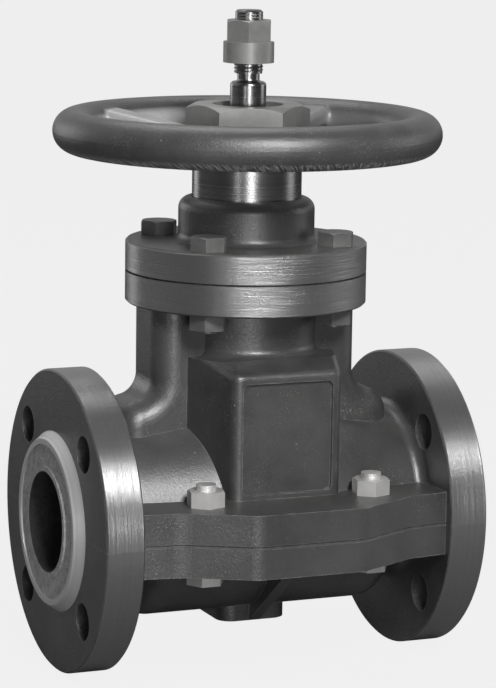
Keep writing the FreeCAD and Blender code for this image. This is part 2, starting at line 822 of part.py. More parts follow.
def stem_nut():
    """The nut sleeve that the wheel turns, threaded inside for the stem and outside for the crosshead."""
    bore = S.stem_diameter / 2 + S.running_fit
    drive, collar, sleeve = S.drive_thread / 2, COLLAR_RADIUS, S.sleeve_nut_diameter / 2
    body = turned("stem_nut_body", [
        (bore, S.crosshead_hub_bottom - S.thread_run_out),
        (drive, S.crosshead_hub_bottom - S.thread_run_out),
        (drive, COLLAR_BOTTOM),
        (collar, COLLAR_BOTTOM),
        (collar, COLLAR_BOTTOM + S.collar_thickness),
        (sleeve, COLLAR_BOTTOM + S.collar_thickness),
        (sleeve, HUB_BOTTOM),
        (S.hub_seat_diameter / 2, HUB_BOTTOM),
        (S.hub_seat_diameter / 2, HUB_TOP),
        (S.nut_thread / 2, HUB_TOP),
        (S.nut_thread / 2, WHEEL_NUT_TOP - S.nut_recess),
        (bore, WHEEL_NUT_TOP - S.nut_recess),
    ])
    return keep(cut("stem_nut_cut", body, [key_block("stem_nut_keyway")]), "stem_nut")


def key_block(name):
    """The space of the wheel's key, half in the stem nut's seat and half in the hub."""
    middle_height = (HUB_BOTTOM + HUB_TOP - S.key_length) / 2
    return block(name, S.key_height, S.key_width, S.key_length, AXIS + middle_height,
                 x=S.hub_seat_diameter / 2)


def handwheel():
    """The wheel: a hub, four spokes that rise to the rim, and the round rim."""
    body = new_body("wheel_casting")
    hub = new_sketch(body, "XZ_Plane", up=AXIS)
    bore, outer = S.hub_seat_diameter / 2 + S.running_fit, S.hub_diameter / 2
    draw_rectangle(hub, bore, HUB_BOTTOM, outer, HUB_TOP)
    revolve("Revolution", hub)
    rim_radius = (S.wheel_diameter - S.rim_diameter) / 2
    spoke = new_sketch(body, "XZ_Plane", up=AXIS)
    start, end = outer - S.spoke_root, rim_radius
    low, high = HUB_TOP - S.spoke_lift, HUB_TOP + S.spoke_rise
    draw_outline(spoke, [(start, low - S.spoke_depth), (end, high - S.spoke_depth), (end, high),
                         (start, low)])
    arm = extrude("Pad", spoke, S.spoke_width, both_ways=True)
    polar(body, [arm], SPOKES)
    soften(body, S.spoke_round, lambda edge: edge.Length > S.spoke_depth.number * 3
           and isinstance(edge.Curve, (Part.Line, Part.LineSegment)))
    rim = new_sketch(body, "XZ_Plane", up=AXIS)
    draw_circle(rim, rim_radius, HUB_TOP, S.rim_diameter / 2)
    revolve("Revolution", rim)
    inside = (rim_radius - S.rim_diameter / 2).number
    soften(body, S.spoke_fillet, lambda edge: abs(flat_distance(edge) - inside) < S.spoke_round.number
           and edge.Length < S.rim_diameter.number * 2)
    turn_by(body, S.spoke_angle)
    return keep(cut("wheel_cut", body, [key_block("hub_keyway")]), "handwheel")


def wheel_fittings():
    """The key between hub and stem nut, and the hexagon nut that holds the wheel down."""
    keep(key_block("key_block"), "wheel_key")
    keep(hexagon("wheel_nut_blank", S.wheel_nut_flats, S.wheel_nut_height, 0, 0, AXIS + HUB_TOP,
                 S.nut_thread / 2 + S.running_fit, S.spoke_angle), "wheel_nut")


def stem():
    """The stem: threaded below, domed at its top, with a waist and a smaller end thread."""
    radius, waist, end = S.stem_diameter / 2, S.stem_diameter / 2 - S.waist_depth, S.stem_end_thread / 2
    body = turned("stem_body", [
        (0, STEM_BOTTOM),
        (radius, STEM_BOTTOM),
        (radius, STEM_SHOULDER),
        (waist, STEM_SHOULDER),
        (waist, STEM_SHOULDER + S.waist_height),
        (end, STEM_SHOULDER + S.waist_height),
        (end, STEM_TIP - S.stem_chamfer),
        (end - S.stem_chamfer, STEM_TIP),
        (0, STEM_TIP),
    ])
    shoulder = (AXIS + STEM_SHOULDER).number
    soften(body, S.stem_round, lambda edge: ring_edge(edge, radius) and near(middle(edge).z, shoulder))
    soften(body, S.waist_round, lambda edge: ring_edge(edge, waist) and near(middle(edge).z, shoulder))
    holes = [cylinder("stem_pin_hole", S.pin_diameter / 2 + S.running_fit, S.bar_thickness * 2, 0,
                      -S.bar_thickness, AXIS + PIN_HEIGHT, "Y")]
    holes.append(cylinder("stem_cross_hole", S.cross_hole / 2, S.stem_end_thread, 0,
                          -S.stem_end_thread / 2, AXIS + CROSS_HOLE_HEIGHT, "Y"))
    keep(cut("stem_cut", body, holes), "stem")
    collar_bore = end + S.running_fit
    washer("stop_collar", collar_bore, S.stop_collar_diameter / 2, STOP_COLLAR_BOTTOM,
           S.stop_collar_height)
    keep(hexagon("lock_nut_blank", S.lock_nut_flats, S.lock_nut_height, 0, 0,
                 AXIS + STOP_COLLAR_BOTTOM + S.stop_collar_height, collar_bore, LOCK_NUT_TURN), "lock_nut")


def pinch_bar():
    """The rounded bar on the stem's lower end that presses the sleeve into the cradle, and its pin."""
    centre = SLEEVE_RADIUS + S.rubber_gap + BAR_RADIUS
    bar = new_body("bar_blank")
    nose = new_sketch(bar, "YZ_Plane", up=AXIS)
    draw_circle(nose, 0, centre, BAR_RADIUS)
    extrude("Pad", nose, S.bar_thickness, both_ways=True)
    head = new_sketch(bar, "YZ_Plane", up=AXIS)
    draw_rectangle(head, -BAR_RADIUS, centre, BAR_RADIUS, BAR_TOP)
    extrude("Pad", head, S.bar_thickness, both_ways=True)
    half = S.bar_thickness / 2
    top = (AXIS + BAR_TOP - S.pick_margin).number
    soften(bar, S.bar_nose, lambda edge: near(abs(middle(edge).x), half) and middle(edge).z < top)
    socket = cylinder("bar_socket", S.stem_diameter / 2 + S.running_fit, S.stem_socket, 0, 0,
                      AXIS + STEM_BOTTOM)
    above = block("bar_above", S.bar_thickness, BAR_RADIUS * 2, BAR_RADIUS * 2, AXIS + BAR_TOP)
    pin_hole = cylinder("bar_pin_hole", S.pin_diameter / 2 + S.running_fit, BAR_RADIUS * 2, 0,
                        -BAR_RADIUS, AXIS + PIN_HEIGHT, "Y")
    keep(cut("bar_cut", bar, [above, socket, pin_hole]), "pinch_bar")
    keep(cylinder("bar_pin_rod", S.pin_diameter / 2, BAR_RADIUS * 2 - S.casting_gap * 2, 0,
                  -BAR_RADIUS + S.casting_gap, AXIS + PIN_HEIGHT, "Y"), "pinch_bar_pin")


def crosshead():
    """The crosshead that the stem nut lifts: a hub, two legs and the arms that carry the tie rods."""
    body = turned("crosshead_blank", [
        (S.drive_thread / 2 + S.running_fit, S.crosshead_hub_bottom),
        (S.crosshead_hub / 2, S.crosshead_hub_bottom),
        (S.crosshead_hub / 2, S.crosshead_hub_bottom + S.crosshead_hub_height),
        (S.drive_thread / 2 + S.running_fit, S.crosshead_hub_bottom + S.crosshead_hub_height),
    ])
    sketch = new_sketch(body, "YZ_Plane", up=AXIS)
    outer, inner = S.crosshead_leg_span / 2, S.crosshead_leg_span / 2 - S.crosshead_leg
    draw_outline(sketch, [
        (inner, S.arm_bottom),
        (S.arm_span / 2, S.arm_bottom),
        (S.arm_span / 2, S.arm_bottom + S.arm_height),
        (outer, S.arm_bottom + S.arm_height),
        (outer, S.crosshead_hub_bottom + S.crosshead_hub_height / 2),
        (inner, S.crosshead_hub_bottom + S.crosshead_hub_height / 2),
    ])
    mirror(body, extrude("Pad", sketch, S.arm_thickness, both_ways=True), "XZ_Plane")
    holes = [cylinder("crosshead_bore", S.drive_thread / 2 + S.running_fit, S.crosshead_hub_height, 0, 0,
                      AXIS + S.crosshead_hub_bottom)]
    for number, y in enumerate(ROD_PLACES):
        holes.append(cylinder(f"arm_hole_{number}", S.rod_diameter / 2 + S.running_fit, S.arm_height, 0, y,
                              AXIS + S.arm_bottom))
    keep(cut("crosshead_cut", body, holes), "crosshead")


def cradle():
    """The half-round cradle under the sleeve, with an ear on each side for a tie rod."""
    inner = SLEEVE_RADIUS + S.rubber_gap
    outer = inner + S.cradle_wall
    half = S.arm_thickness / 2
    ear_bottom = S.cradle_ear_top + S.cradle_ear_height
    solid = [cylinder("cradle_round", outer, S.arm_thickness, -half, 0, AXIS, "X"),
             block("cradle_ears", S.arm_thickness, S.arm_span, S.cradle_ear_height, AXIS - ear_bottom)]
    above = block("cradle_above", S.arm_thickness * 2, S.arm_span * 2, outer * 2, AXIS - S.cradle_ear_top)
    holes = [above, cylinder("cradle_bore", inner, S.arm_thickness, -half, 0, AXIS, "X")]
    for number, y in enumerate(ROD_PLACES):
        holes.append(cylinder(f"ear_hole_{number}", S.rod_diameter / 2 + S.running_fit, S.cradle_ear_height,
                              0, y, AXIS - ear_bottom))
    keep(cut("cradle_cut", fuse("cradle_solid", solid), holes), "lower_cradle")


def tie_rods():
    """The two tie rods between crosshead and cradle, and the nuts on top of the arms."""
    bottom = -S.cradle_ear_top - S.cradle_ear_height
    arm_top = S.arm_bottom + S.arm_height
    length = arm_top + S.rod_nut + S.rod_end - bottom
    rods = [cylinder(f"tie_rod_{number}", S.rod_diameter / 2, length, 0, y, AXIS + bottom)
            for number, y in enumerate(ROD_PLACES)]
    keep(group("tie_rod_pair", rods), "tie_rods")
    nuts = [hexagon(f"rod_nut_{number}", S.rod_flats, S.rod_nut, 0, y, AXIS + arm_top,
                    S.rod_diameter / 2 + S.running_fit) for number, y in enumerate(ROD_PLACES)]
    keep(group("rod_nut_pair", nuts), "tie_rod_nuts")


def rubber_sleeve():
    """The rubber sleeve: the middle that is squeezed, two ends with collars, and their face rings."""
    bore, outer = S.sleeve_bore / 2, SLEEVE_RADIUS
    middle_half = S.sleeve_middle / 2
    middle_tube = cylinder("sleeve_middle_blank", outer, S.sleeve_middle, -middle_half, 0, AXIS, "X")
    middle_hole = cylinder("sleeve_middle_bore", bore, S.sleeve_middle, -middle_half, 0, AXIS, "X")
    keep(cut("sleeve_middle_cut", middle_tube, [middle_hole]), "sleeve_middle")
    ring_inner = S.ring_diameter / 2 - S.ring_wall
    floor, proud = FACE - S.ring_depth, FACE + S.ring_stand
    for side, name in ((-1, "left"), (1, "right")):
        end = new_body(f"sleeve_end_{name}_body")
        sketch = new_sketch(end, "XZ_Plane", up=AXIS)
        draw_outline(sketch, [(x * side, radius) for x, radius in [
            (middle_half, bore),
            (proud, bore),
            (proud, bore + S.sleeve_lip_width),
            (proud - S.sleeve_lip, bore + S.sleeve_lip_width),
            (proud - S.sleeve_lip, ring_inner - S.running_fit),
            (floor, ring_inner - S.running_fit),
            (floor, outer),
            (middle_half, outer),
        ]])
        revolve("Revolution", sketch, axis="H_Axis")
        keep(end, f"sleeve_end_{name}")
        ring = new_body(f"face_ring_{name}_body")
        sketch = new_sketch(ring, "XZ_Plane", up=AXIS)
        draw_outline(sketch, [(x * side, radius) for x, radius in [
            (floor, ring_inner),
            (floor, S.ring_diameter / 2),
            (FACE, S.ring_diameter / 2),
            (proud, (S.ring_diameter / 2 - S.ring_slope)),
            (proud, ring_inner),
        ]])
        revolve("Revolution", sketch, axis="H_Axis")
        keep(ring, f"face_ring_{name}")


def bolt(name, x, y, z, length, head_on_top):
    """A hexagon bolt through a joint: its shank stands on z, with its head above or below."""
    shank = cylinder(f"{name}_shank", S.bolt_thread / 2, length, x, y, z)
    if head_on_top:
        head = hexagon(f"{name}_head", S.bolt_flats, S.bolt_head, x, y, size(z) + length)
        return fuse(name, [shank, head])
    head = hexagon(f"{name}_head", S.bolt_flats, S.bolt_head, x, y, size(z) - S.bolt_head)
    return fuse(name, [shank, head])


def fasteners():
    """Bolts and nuts of the split body and of the bonnet."""
    bolts, nuts = [], []
    through = S.plate_above + S.plate_below + S.bolt_nut + S.bolt_end
    for number, (x, y) in enumerate(BODY_BOLTS):
        bolts.append(bolt(f"body_bolt_{number}", x, y, AXIS - S.plate_below, through, False))
        nuts.append(hexagon(f"body_nut_{number}", S.bolt_flats, S.bolt_nut, x, y, AXIS + S.plate_above,
                            S.bolt_thread / 2 + S.running_fit, BODY_NUT_TURN))
    keep(group("body_bolt_group", bolts), "body_bolts")
    keep(group("body_nut_group", nuts), "body_nuts")
    bolts, nuts = [], []
    joint = S.top_flange_thickness + S.gasket_thickness + S.bonnet_flange_thickness
    bottom = S.top_flange_height - S.bolt_nut
    for number, (x, y) in enumerate(BONNET_BOLTS):
        start = AXIS + bottom - S.bolt_end / 2
        bolts.append(bolt(f"bonnet_bolt_{number}", x, y, start, joint + S.bolt_nut + S.bolt_end / 2, True))
        nuts.append(hexagon(f"bonnet_nut_{number}", S.bolt_flats, S.bolt_nut, x, y, AXIS + bottom,
                            S.bolt_thread / 2 + S.running_fit))
    keep(group("bonnet_bolt_group", bolts), "bonnet_bolts")
    keep(group("bonnet_nut_group", nuts), "bonnet_nuts")


CHAMFER_SLOPE = 1.732
SPOKES = 4
BUSH_RADIUS = S.sleeve_nut_diameter / 2 + S.running_fit + S.bush_wall
COLLAR_BOTTOM = TOP_FLANGE_TOP + S.washer_thickness + S.end_float
UPPER_WASHER_TOP = COLLAR_BOTTOM + S.collar_thickness + S.end_float + S.washer_thickness
SEAL_TOP = UPPER_WASHER_TOP + S.bush_length + S.seal_height
WHEEL_NUT_TOP = HUB_TOP + S.wheel_nut_height
BAR_RADIUS = SLEEVE_RADIUS + S.rubber_gap - S.sleeve_wall * 2
BAR_TOP = SLEEVE_RADIUS + S.rubber_gap + S.bar_height
STEM_BOTTOM = BAR_TOP - S.stem_socket
PIN_HEIGHT = BAR_TOP - S.stem_socket / 2
STOP_COLLAR_BOTTOM = WHEEL_NUT_TOP - S.nut_recess + PINCH_TRAVEL
STEM_SHOULDER = STOP_COLLAR_BOTTOM - S.shoulder_below_collar
STEM_TIP = STOP_COLLAR_BOTTOM + S.stop_collar_height + S.lock_nut_height + S.stem_end_show
LOCK_NUT_TURN = 7.2
BODY_NUT_TURN = 21.2
CROSS_HOLE_HEIGHT = STEM_TIP - S.cross_hole
ROD_PLACES = [-(S.arm_span / 2 - S.rod_edge), (S.arm_span / 2 - S.rod_edge)]

shared_hollow = pipe_hollow()
upper_casting(shared_hollow)
lower_casting(shared_hollow)
bonnet()
bonnet_fittings()
stem_nut()
handwheel()
wheel_fittings()
stem()
pinch_bar()
crosshead()
tie_rods()
cradle()
rubber_sleeve()
fasteners()

document.recompute()
for thing in document.Objects:
    if "Invalid" in thing.State or "Error" in thing.State:
        raise ValueError(f"{thing.Label} did not build: {thing.State}")
os.makedirs("parts", exist_ok=True)
for piece in pieces:
    if piece.Shape.isNull() or not piece.Shape.isValid():
        raise ValueError(f"{piece.Label} has no valid shape")
    piece.Shape.exportStep(f"parts/{piece.Label}.step")
    print(piece.Label, len(piece.Shape.Solids), round(piece.Shape.Volume))
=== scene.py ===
import json
import math

import bpy
from mathutils import Matrix, Vector


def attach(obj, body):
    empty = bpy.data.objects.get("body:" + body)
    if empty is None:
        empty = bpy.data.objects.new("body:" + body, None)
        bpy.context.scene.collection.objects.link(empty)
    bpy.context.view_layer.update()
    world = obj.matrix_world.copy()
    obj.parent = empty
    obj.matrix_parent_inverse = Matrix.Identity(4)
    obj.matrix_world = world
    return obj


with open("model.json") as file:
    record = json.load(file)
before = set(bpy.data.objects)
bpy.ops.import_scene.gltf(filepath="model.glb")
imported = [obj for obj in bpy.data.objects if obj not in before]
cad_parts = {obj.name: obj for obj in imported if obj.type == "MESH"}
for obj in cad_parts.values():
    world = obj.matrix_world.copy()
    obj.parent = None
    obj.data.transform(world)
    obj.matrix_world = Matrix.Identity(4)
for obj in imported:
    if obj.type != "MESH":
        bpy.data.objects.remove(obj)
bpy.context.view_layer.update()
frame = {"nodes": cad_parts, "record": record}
scene = bpy.context.scene

MM = 0.001

# Sizes of the part that the finishes and the threads go by
PIPE_AXIS = 77.5 * MM
SLEEVE_BORE_RADIUS = 25.5 * MM
PIPE_RIM_RADIUS = 76.9 * MM
PIPE_FLANGE_BACK = 83.0 * MM
TOP_RIM_RADIUS = 61.2 * MM
TOP_RIM_LOW = PIPE_AXIS + 108.0 * MM
WHEEL_RIM_CENTRE = PIPE_AXIS + 195.3 * MM


# Camera, fitted to edges measured in the photograph

CAMERA_TURN = math.radians(22.769)
CAMERA_RISE = math.radians(10.417)
CAMERA_ROLL = math.radians(0.826)
CAMERA_DISTANCE = 1591.03 * MM
CAMERA_AIM = Vector((0, 0, PIPE_AXIS + 60 * MM))
FOCAL_PIXELS = 3080.1
IMAGE_WIDTH, IMAGE_HEIGHT = 496, 688
CENTRE_COLUMN, CENTRE_ROW = 243.80, 393.19
SENSOR_SIZE = 36
CLIP_NEAR, CLIP_FAR = 0.05, 20


def make_camera():
    data = bpy.data.cameras.new("camera")
    camera = bpy.data.objects.new("camera", data)
    scene.collection.objects.link(camera)
    scene.camera = camera
    right = Vector((math.cos(CAMERA_TURN), -math.sin(CAMERA_TURN), 0))
    ahead = Vector((
        math.sin(CAMERA_TURN) * math.cos(CAMERA_RISE),
        math.cos(CAMERA_TURN) * math.cos(CAMERA_RISE),
        -math.sin(CAMERA_RISE),
    ))
    up = right.cross(ahead)
    rolled_right = right * math.cos(CAMERA_ROLL) + up * math.sin(CAMERA_ROLL)
    rolled_up = up * math.cos(CAMERA_ROLL) - right * math.sin(CAMERA_ROLL)
    turn = Matrix((rolled_right, rolled_up, -ahead)).transposed()
    place = Matrix.Translation(CAMERA_AIM - ahead * CAMERA_DISTANCE)
    camera.matrix_world = place @ turn.to_4x4()
    data.sensor_width = SENSOR_SIZE
    data.lens = FOCAL_PIXELS / IMAGE_HEIGHT * SENSOR_SIZE
    data.shift_x = (IMAGE_WIDTH / 2 - CENTRE_COLUMN) / IMAGE_HEIGHT
    data.shift_y = (CENTRE_ROW - IMAGE_HEIGHT / 2) / IMAGE_HEIGHT
    data.clip_start, data.clip_end = CLIP_NEAR, CLIP_FAR


# Node helpers

class Tree:
    """A shader node tree with short calls for the nodes that the finishes need."""

    def __init__(self, tree):
        self.tree = tree

    def node(self, kind, **settings):
        made = self.tree.nodes.new(kind)
        for name, value in settings.items():
            setattr(made, name, value)
        return made

    def link(self, source, target):
        self.tree.links.new(source, target)

    def put(self, socket, value):
        """Links a socket to another one, or sets it to a plain value."""
        if isinstance(value, bpy.types.NodeSocket):
            self.link(value, socket)
        else:
            socket.default_value = value

    def fill(self, node, **inputs):
        """Sets or links a node's inputs by name, with underscores for spaces."""
        for name, value in inputs.items():
            self.put(node.inputs[name.replace("_", " ")], value)
        return node

    def place(self):
        """Where a point is on the part, in metres."""
        return self.node("ShaderNodeTexCoord").outputs["Object"]

    def split(self, vector):
        """The x, y and z of a vector."""
        node = self.node("ShaderNodeSeparateXYZ")
        self.link(vector, node.inputs[0])
        return node.outputs

    def join(self, x, y):
        """A flat vector of two values."""
        node = self.node("ShaderNodeCombineXYZ")
        self.link(x, node.inputs[0])
        self.link(y, node.inputs[1])
        return node.outputs[0]

    def noise(self, vector, scale, detail=2.0, roughness=0.5):
        node = self.node("ShaderNodeTexNoise")
        self.fill(node, Vector=vector, Scale=scale, Detail=detail, Roughness=roughness)
        return node.outputs["Fac"]

    def cells(self, vector, scale):
        """Distance to the nearest of a scatter of points."""
        node = self.fill(self.node("ShaderNodeTexVoronoi"), Vector=vector, Scale=scale)
        return node.outputs["Distance"]

    def ramp(self, value, low, high):
        """A value stretched so that low becomes 0 and high becomes 1, kept in between."""
        node = self.node("ShaderNodeMapRange", clamp=True)
        self.fill(node, Value=value, From_Min=low, From_Max=high)
        return node.outputs["Result"]

    def maths(self, operation, first, second=0.0):
        node = self.node("ShaderNodeMath", operation=operation)
        self.put(node.inputs[0], first)
        self.put(node.inputs[1], second)
        return node.outputs[0]

    def plus(self, first, second):
        return self.maths("ADD", first, second)

    def minus(self, first, second):
        return self.maths("SUBTRACT", first, second)

    def over(self, first, second):
        return self.maths("DIVIDE", first, second)

    def times(self, first, *others):
        for other in others:
            first = self.maths("MULTIPLY", first, other)
        return first

    def mix(self, factor, first, second):
        """A colour between two, each a colour or a socket."""
        node = self.node("ShaderNodeMix", data_type="RGBA")
        colours = [item for item in node.inputs if item.type == "RGBA"]
        for socket, value in zip([node.inputs["Factor"], *colours], (factor, first, second)):
            self.put(socket, value)
        return [item for item in node.outputs if item.type == "RGBA"][0]


def away_from(tree, place, axis):
    """A point's distance from the pipe axis (X) or the stem axis (Z), with its own x and z."""
    x, y, z = tree.split(place)
    other = x if axis == "Z" else tree.minus(z, PIPE_AXIS)
    length = tree.node("ShaderNodeVectorMath", operation="LENGTH")
    tree.link(tree.join(other, y), length.inputs[0])
    return length.outputs["Value"], x, z


WARM = 0.01


def grey(level, warmth=0.0):
    """A grey of an sRGB level from 0 to 255, as a linear colour."""
    value = level / 255
    linear = value / 12.92 if value <= 0.04045 else ((value + 0.055) / 1.055) ** 2.4
    return (linear * (1 + warmth), linear, linear * (1 - warmth), 1.0)


def new_group(name, inputs, outputs):
    """A node group of numbers: its inputs with their usual values, and its outputs."""
    group = bpy.data.node_groups.new(name, "ShaderNodeTree")
    kind = "NodeSocketFloat"
    for socket_name, value in inputs.items():
        socket = group.interface.new_socket(socket_name, in_out="INPUT", socket_type=kind)
        socket.default_value = value
    for socket_name in outputs:
        group.interface.new_socket(socket_name, in_out="OUTPUT", socket_type=kind)
    tree = Tree(group)
    given = tree.node("NodeGroupInput").outputs
    result = tree.node("NodeGroupOutput").inputs
    return group, tree, given, result


# Node groups of the finishes. Sizes of grain, lumps and feed are in millimetres, the scales of
# noise in cells to the metre.

PIT_SCALE, PITTED_AREA_SCALE = 420.0, 160.0
MOTTLE_SCALE = 26.0
GLINT_SCALE, GLINT_AREA_SCALE = 1500.0, 60.0


def sand_cast_group():
    """Grain, lumps and pinholes of a sand casting under paint."""
    group, tree, given, result = new_group(
        "sand cast skin",
        {"Grain Size": 1.2, "Lump Size": 9.0, "Lump Share": 0.5, "Pinholes": 0.5},
        ["Height", "Mottle", "Glint"],
    )
    place = tree.place()
    grain_scale = tree.over(1 / MM, given["Grain Size"])
    lump_scale = tree.over(1 / MM, given["Lump Size"])
    grain = tree.noise(place, grain_scale, detail=3.0, roughness=0.65)
    lumps = tree.noise(place, lump_scale)
    skin = tree.plus(grain, tree.times(lumps, given["Lump Share"]))
    pits = tree.minus(1.0, tree.ramp(tree.cells(place, PIT_SCALE), 0.05, 0.16))
    pitted = tree.ramp(tree.noise(place, PITTED_AREA_SCALE), 0.60, 0.68)
    pits = tree.times(pits, pitted, given["Pinholes"])
    tree.link(tree.minus(skin, pits), result["Height"])
    broad = tree.noise(place, MOTTLE_SCALE, detail=5.0, roughness=0.68)
    tree.link(tree.ramp(broad, 0.30, 0.70), result["Mottle"])
    sparks = tree.ramp(tree.noise(place, GLINT_SCALE, detail=1.0), 0.60, 0.74)
    patches = tree.ramp(tree.noise(place, GLINT_AREA_SCALE), 0.42, 0.66)
    tree.link(tree.times(sparks, patches), result["Glint"])
    return group


RUB_SCALE = 140.0


def wear_group():
    """A mask of rubbed edges: strong where a rounded normal leaves the flat one."""
    group, tree, given, result = new_group(
        "edge rub", {"Radius": 1.2 * MM, "Amount": 1.0}, ["Mask"])
    rounded = tree.node("ShaderNodeBevel", samples=4)
    tree.link(given["Radius"], rounded.inputs["Radius"])
    plain = tree.node("ShaderNodeNewGeometry")
    dot = tree.node("ShaderNodeVectorMath", operation="DOT_PRODUCT")
    tree.link(rounded.outputs["Normal"], dot.inputs[0])
    tree.link(plain.outputs["Normal"], dot.inputs[1])
    bend = tree.ramp(tree.minus(1.0, dot.outputs["Value"]), 0.02, 0.25)
    patchy = tree.noise(tree.place(), RUB_SCALE, detail=4.0, roughness=0.7)
    broken = tree.ramp(patchy, 0.35, 0.65)
    tree.link(tree.times(bend, broken, given["Amount"]), result["Mask"])
    return group


STREAK_SHARE = 0.22


def turning_group():
    """Fine rings left by a lathe, round the stem axis or, with Along X at 1, the pipe axis.

    The streaks are broader than the rings by STREAK_SHARE.
    """
    group, tree, given, result = new_group(
        "lathe marks", {"Along X": 0.0, "Feed": 0.25}, ["Height", "Streak"])
    place = tree.place()
    from_stem, x, z = away_from(tree, place, "Z")
    from_pipe = away_from(tree, place, "X")[0]

    def chosen(round_stem, round_pipe):
        gap = tree.minus(round_pipe, round_stem)
        return tree.plus(round_stem, tree.times(gap, given["Along X"]))

    scale = tree.over(1 / MM, given["Feed"])
    outward = tree.times(chosen(from_stem, from_pipe), scale)
    along = tree.times(chosen(z, x), scale)
    rings = tree.join(outward, along)
    tree.link(tree.noise(rings, 1.0), result["Height"])
    broad = tree.node("ShaderNodeVectorMath", operation="SCALE")
    tree.link(rings, broad.inputs[0])
    broad.inputs["Scale"].default_value = STREAK_SHARE
    tree.link(tree.noise(broad.outputs[0], 1.0, detail=3.0), result["Streak"])
    return group


SPECK_SCALE, SPECK_AREA_SCALE = 260.0, 90.0
SETTLED_SCALE = 45.0


def dust_group():
    """Pale specks and a little settled dust on what faces up."""
    group, tree, given, result = new_group(
        "specks and dust", {"Specks": 1.0, "Settled": 0.3}, ["Mask"])
    place = tree.place()
    small = tree.minus(1.0, tree.ramp(tree.cells(place, SPECK_SCALE), 0.06, 0.12))
    few = tree.ramp(tree.noise(place, SPECK_AREA_SCALE), 0.64, 0.68)
    specks = tree.times(small, few, given["Specks"])
    normal = tree.node("ShaderNodeNewGeometry").outputs["Normal"]
    upward = tree.ramp(tree.split(normal)[2], 0.4, 1.0)
    patch = tree.ramp(tree.noise(place, SETTLED_SCALE, detail=4.0), 0.35, 0.75)
    settled = tree.times(upward, patch, given["Settled"])
    tree.link(tree.maths("MAXIMUM", specks, settled), result["Mask"])
    return group


TICKS_PER_RADIAN = 62.0
TICK_SLANT = 500.0
TICK_ROW_SCALE = 170.0
TICK_FADE = 2.0 * MM


def grip_group():
    """The rough, chiselled band under the wheel's rim: short slanting ticks round the stem axis.

    Top is how far the band starts below the middle of the rim.
    """
    group, tree, given, result = new_group("rim ticks", {"Top": 6.5 * MM}, ["Ticks"])
    x, y, z = tree.split(tree.place())
    turn = tree.times(tree.maths("ARCTAN2", y, x), TICKS_PER_RADIAN)
    slanted = tree.plus(turn, tree.times(z, TICK_SLANT))
    pattern = tree.join(slanted, tree.times(z, TICK_ROW_SCALE))
    ticks = tree.ramp(tree.noise(pattern, 1.0, roughness=0.6), 0.42, 0.62)
    below = tree.minus(WHEEL_RIM_CENTRE, z)
    band = tree.ramp(tree.over(tree.minus(below, given["Top"]), TICK_FADE), 0.0, 1.0)
    tree.link(tree.times(ticks, band), result["Ticks"])
    return group


# How much weaker the painted spoke highlight is on the right than on the left, and over what width
LIT_SIDE_EDGE = 10 * MM
LIT_SIDE_DIFFERENCE = 0.7


def spoke_highlight_group():
    """A painted highlight on the wheel's spokes, from the hub out to the rim; more so on the left.
    """
    group, tree, given, result = new_group(
        "painted spoke highlight", {"Inner": 31.5 * MM, "Outer": 79.5 * MM}, ["Mask"])
    radius, x, _ = away_from(tree, tree.place(), "Z")
    past_hub = tree.ramp(tree.over(tree.minus(radius, given["Inner"]), MM), 0.0, 1.0)
    before_rim = tree.ramp(tree.over(tree.minus(given["Outer"], radius), MM), 0.0, 2.0)
    rightward = tree.ramp(x, -LIT_SIDE_EDGE, LIT_SIDE_EDGE)
    lit_side = tree.minus(1.0, tree.times(rightward, LIT_SIDE_DIFFERENCE))
    tree.link(tree.times(past_hub, before_rim, lit_side), result["Mask"])
    return group


RIM_STEP = 0.2 * MM


def rim_group():
    """Masks of the rims that were turned on a lathe: those of the pipe flanges, and of the two
    flanges under the bonnet.
    """
    group, tree, given, result = new_group(
        "turned rims", {"Edge": 0.6 * MM}, ["Pipe Rim", "Top Rim"])
    place = tree.place()

    def outside(radius, start):
        return tree.ramp(tree.over(tree.minus(radius, start), given["Edge"]), 0.0, 1.0)

    radius, x, _ = away_from(tree, place, "X")
    off_middle = tree.maths("ABSOLUTE", x)
    at_flange = tree.ramp(off_middle, PIPE_FLANGE_BACK - RIM_STEP, PIPE_FLANGE_BACK)
    tree.link(tree.times(outside(radius, PIPE_RIM_RADIUS), at_flange), result["Pipe Rim"])
    radius, _, z = away_from(tree, place, "Z")
    above = tree.ramp(z, TOP_RIM_LOW, TOP_RIM_LOW + RIM_STEP)
    tree.link(tree.times(outside(radius, TOP_RIM_RADIUS), above), result["Top Rim"])
    return group


SAND_CAST = sand_cast_group()
GRIP_TICKS = grip_group()
SPOKE_HIGHLIGHT = spoke_highlight_group()
EDGE_RUB = wear_group()
LATHE_MARKS = turning_group()
DUST = dust_group()
TURNED_RIMS = rim_group()


# Finishes. A level is the sRGB grey of a finish, and depth how far its bumps stand out.

def use(tree, group, **inputs):
    """Places a node group in a material with its own values."""
    return tree.fill(tree.node("ShaderNodeGroup", node_tree=group), **inputs)


def new_material(name):
    material = bpy.data.materials.new(name)
    material.use_nodes = True
    shader = material.node_tree.nodes["Principled BSDF"]
    return material, Tree(material.node_tree), shader


def bump(tree, shader, height, depth, strength):
    node = tree.fill(tree.node("ShaderNodeBump"), Height=height, Distance=depth, Strength=strength)
    tree.link(node.outputs["Normal"], shader.inputs["Normal"])


PAINT_IOR = 1.65
PAINT_SPECULAR = 0.8
PAINT_GLINT = 0.75
WORN_LIMIT = 200
DUST_LEVEL, DUST_WARMTH = 170, 0.02

RIM_FEED = 0.22
RIM_LINE_DEPTH = 0.12 * MM
PIPE_RIM_LINES, TOP_RIM_LINES = 1.3, 1.7
RIM_LEVEL = 156
RIM_METALLIC = 0.88
RIM_SMOOTHER = 0.08
RIM_SKIN_LEFT, RIM_RUB_LEFT = 0.12, 0.25

# Strength and greys of the painted highlight on the spokes
SPOKE_HIGHLIGHT_SHARE = 0.85
SPOKE_HIGHLIGHT_LEVELS = (190, 228)
TICK_SHARE = 0.85
TICK_HEIGHT = 3.2


